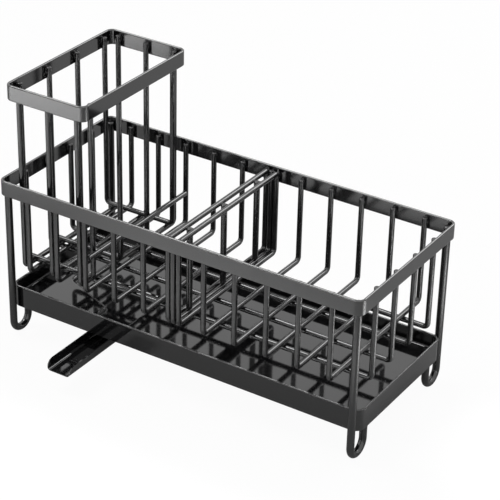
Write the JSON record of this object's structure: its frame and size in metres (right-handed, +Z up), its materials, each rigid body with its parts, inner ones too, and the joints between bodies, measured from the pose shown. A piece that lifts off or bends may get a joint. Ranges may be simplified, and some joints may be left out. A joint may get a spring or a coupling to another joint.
{
  "type": "kitchen sink caddy",
  "caption": "Black wire sink caddy on looped legs, with a lift-out utensil tower, a lift-out divider and a pull-out drip tray with a sliding spout.",
  "frame": {"origin": "on the worktop, under the middle of the basket's rim", "axes": "+X along the basket away from the tower, +Y to the back, away from the spout, +Z up"},
  "size_m": [0.3, 0.1725, 0.2046],
  "materials": {
    "painted_wire": "gloss black paint on steel wire",
    "painted_strip": "satin black paint on flat steel strip",
    "painted_sheet": "gloss black paint on steel sheet"
  },
  "bodies": {
    "frame": {"main_rim": "painted_strip", "cross_wire_01": "painted_wire", "cross_wire_02": "painted_wire", "cross_wire_03": "painted_wire", "cross_wire_04": "painted_wire", "cross_wire_05": "painted_wire", "cross_wire_06": "painted_wire", "cross_wire_07": "painted_wire", "cross_wire_08": "painted_wire", "cross_wire_09": "painted_wire", "cross_wire_10": "painted_wire", "cross_wire_11": "painted_wire", "long_wire_1": "painted_wire", "long_wire_2": "painted_wire", "long_wire_3": "painted_wire", "long_wire_4": "painted_wire", "leg_frame_left": "painted_wire", "leg_frame_right": "painted_wire", "stop_rail": "painted_wire"},
    "tray": {"drip_tray": "painted_sheet", "spout_guide_front": "painted_sheet", "spout_guide_back": "painted_sheet"},
    "spout": {"spout": "painted_sheet"},
    "tower": {"tower_rim": "painted_strip", "tower_cross_wire_1": "painted_wire", "tower_cross_wire_2": "painted_wire", "tower_cross_wire_3": "painted_wire", "tower_long_wire_1": "painted_wire", "tower_long_wire_2": "painted_wire", "tower_long_wire_3": "painted_wire", "tower_long_wire_4": "painted_wire"},
    "divider": {"divider_loop_left": "painted_wire", "divider_loop_right": "painted_wire", "divider_rail_left": "painted_wire", "divider_rail_right": "painted_wire", "divider_bar_1": "painted_wire", "divider_bar_2": "painted_wire", "divider_bar_3": "painted_wire"}
  },
  "joints": [
    {"name": "tray_slide", "type": "slide", "parent": "frame", "child": "tray", "axis": [1, 0, 0], "range_m": [0, 0.195]},
    {"name": "spout_slide", "type": "slide", "parent": "tray", "child": "spout", "axis": [0, 1, 0], "range_m": [0, 0.046]},
    {"name": "tower_lift", "type": "slide", "parent": "frame", "child": "tower", "axis": [0, 0, 1], "range_m": [0, 0.08]},
    {"name": "divider_lift", "type": "slide", "parent": "frame", "child": "divider", "axis": [0, 0, 1], "range_m": [0, 0.08]}
  ]
}
